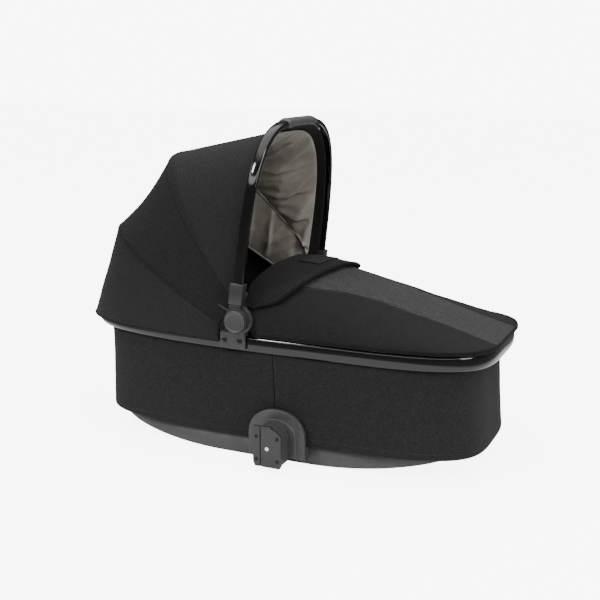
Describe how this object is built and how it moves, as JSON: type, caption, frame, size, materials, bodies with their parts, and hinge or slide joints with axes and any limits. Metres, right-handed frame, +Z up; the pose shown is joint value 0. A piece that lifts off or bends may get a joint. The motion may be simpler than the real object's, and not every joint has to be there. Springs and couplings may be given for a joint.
{
  "type": "carrycot",
  "caption": "Soft-sided carrycot on a rocking base tray: gloss rim, ribbed folding hood on a swing-up handle bow, zip-on apron with a fold-over flap, adapter plates at the sides.",
  "frame": {"origin": "on the flat underside of the base tray, midway along the rim and on the plane between its two sides", "axes": "+X towards the foot end, +Y to the left-hand side, +Z up"},
  "size_m": [0.8341, 0.4304, 0.6113],
  "materials": {
    "rim": "gloss",
    "bow_tube": "gloss",
    "rib_wire": "satin",
    "grip_cover": "satin",
    "satin_plastic": "satin",
    "tray_plastic": "satin",
    "stay_plastic": "matte",
    "screw_steel": "satin",
    "guide_pin": "gloss",
    "body_cloth": "matte",
    "hood_cloth": "matte",
    "apron_cloth": "matte",
    "lining_cloth": "matte",
    "mattress_cloth": "matte",
    "board": "matte"
  },
  "bodies": {
    "base": {"rim_rail": "rim", "body_cover": "body_cloth", "body_liner": "lining_cloth", "base_board": "board", "mattress": "mattress_cloth", "base_tray": "tray_plastic", "head_stay": "stay_plastic", "foot_stay": "stay_plastic", "side_post_left": "stay_plastic", "side_plate_left": "satin_plastic", "adapter_boss_left": "satin_plastic", "adapter_plate_left": "satin_plastic", "adapter_screw_left_1": "screw_steel", "adapter_screw_left_2": "screw_steel", "adapter_screw_left_3": "screw_steel", "adapter_screw_left_4": "screw_steel", "adapter_pin_left": "guide_pin", "hub_bracket_left": "satin_plastic", "rim_rivet_left_1": "screw_steel", "rim_rivet_left_2": "screw_steel", "hub_pin_left": "screw_steel", "side_post_right": "stay_plastic", "side_plate_right": "satin_plastic", "adapter_boss_right": "satin_plastic", "adapter_plate_right": "satin_plastic", "adapter_screw_right_1": "screw_steel", "adapter_screw_right_2": "screw_steel", "adapter_screw_right_3": "screw_steel", "adapter_screw_right_4": "screw_steel", "adapter_pin_right": "guide_pin", "hub_bracket_right": "satin_plastic", "rim_rivet_right_1": "screw_steel", "rim_rivet_right_2": "screw_steel", "hub_pin_right": "screw_steel"},
    "rear_rib": {"rear_rib": "rib_wire", "hood_panel_rear": "hood_cloth"},
    "front_rib": {"front_rib": "rib_wire", "hood_panel_middle": "hood_cloth", "hood_lining_rear": "lining_cloth"},
    "bow": {"hood_bow": "bow_tube", "hood_grip": "grip_cover", "bow_socket_left": "satin_plastic", "bow_socket_right": "satin_plastic", "button_spring_left": "screw_steel", "button_spring_right": "screw_steel", "hood_panel_front": "hood_cloth", "hood_lining_front": "lining_cloth"},
    "button_left": {"hub_button_left": "satin_plastic"},
    "button_right": {"hub_button_right": "satin_plastic"},
    "apron": {"apron": "apron_cloth"},
    "flap": {"apron_flap": "apron_cloth"}
  },
  "joints": [
    {"name": "rear_rib_fold", "type": "hinge", "parent": "base", "child": "rear_rib", "pos_m": [-0.027, 0, 0.265], "axis": [0, -1, 0], "range_deg": [0, 12.5], "deforming": ["hood_panel_rear"]},
    {"name": "front_rib_fold", "type": "hinge", "parent": "rear_rib", "child": "front_rib", "pos_m": [-0.027, 0, 0.265], "axis": [0, -1, 0], "range_deg": [0, 20.5], "deforming": ["hood_panel_middle", "hood_lining_rear"]},
    {"name": "bow_fold", "type": "hinge", "parent": "front_rib", "child": "bow", "pos_m": [-0.027, 0, 0.265], "axis": [0, -1, 0], "range_deg": [0, 38], "deforming": ["hood_panel_front", "hood_lining_front"]},
    {"name": "button_left_press", "type": "slide", "parent": "bow", "child": "button_left", "axis": [0, -1, 0], "range_m": [0, 0.003], "stiffness_N_per_m": 600},
    {"name": "button_right_press", "type": "slide", "parent": "bow", "child": "button_right", "axis": [0, 1, 0], "range_m": [0, 0.003], "stiffness_N_per_m": 600},
    {"name": "apron_lift_off", "type": "slide", "parent": "base", "child": "apron", "axis": [0.5, 0, 0.866], "range_m": [0, 0.15]},
    {"name": "flap_turn", "type": "hinge", "parent": "apron", "child": "flap", "pos_m": [-0.03, 0, 0.3373], "axis": [0, -1, 0], "range_deg": [0, 100]}
  ],
  "couplings": [
    {"joint": "front_rib_fold", "follows": "bow_fold", "ratio": 0.5263},
    {"joint": "rear_rib_fold", "follows": "bow_fold", "ratio": 0.3158}
  ]
}
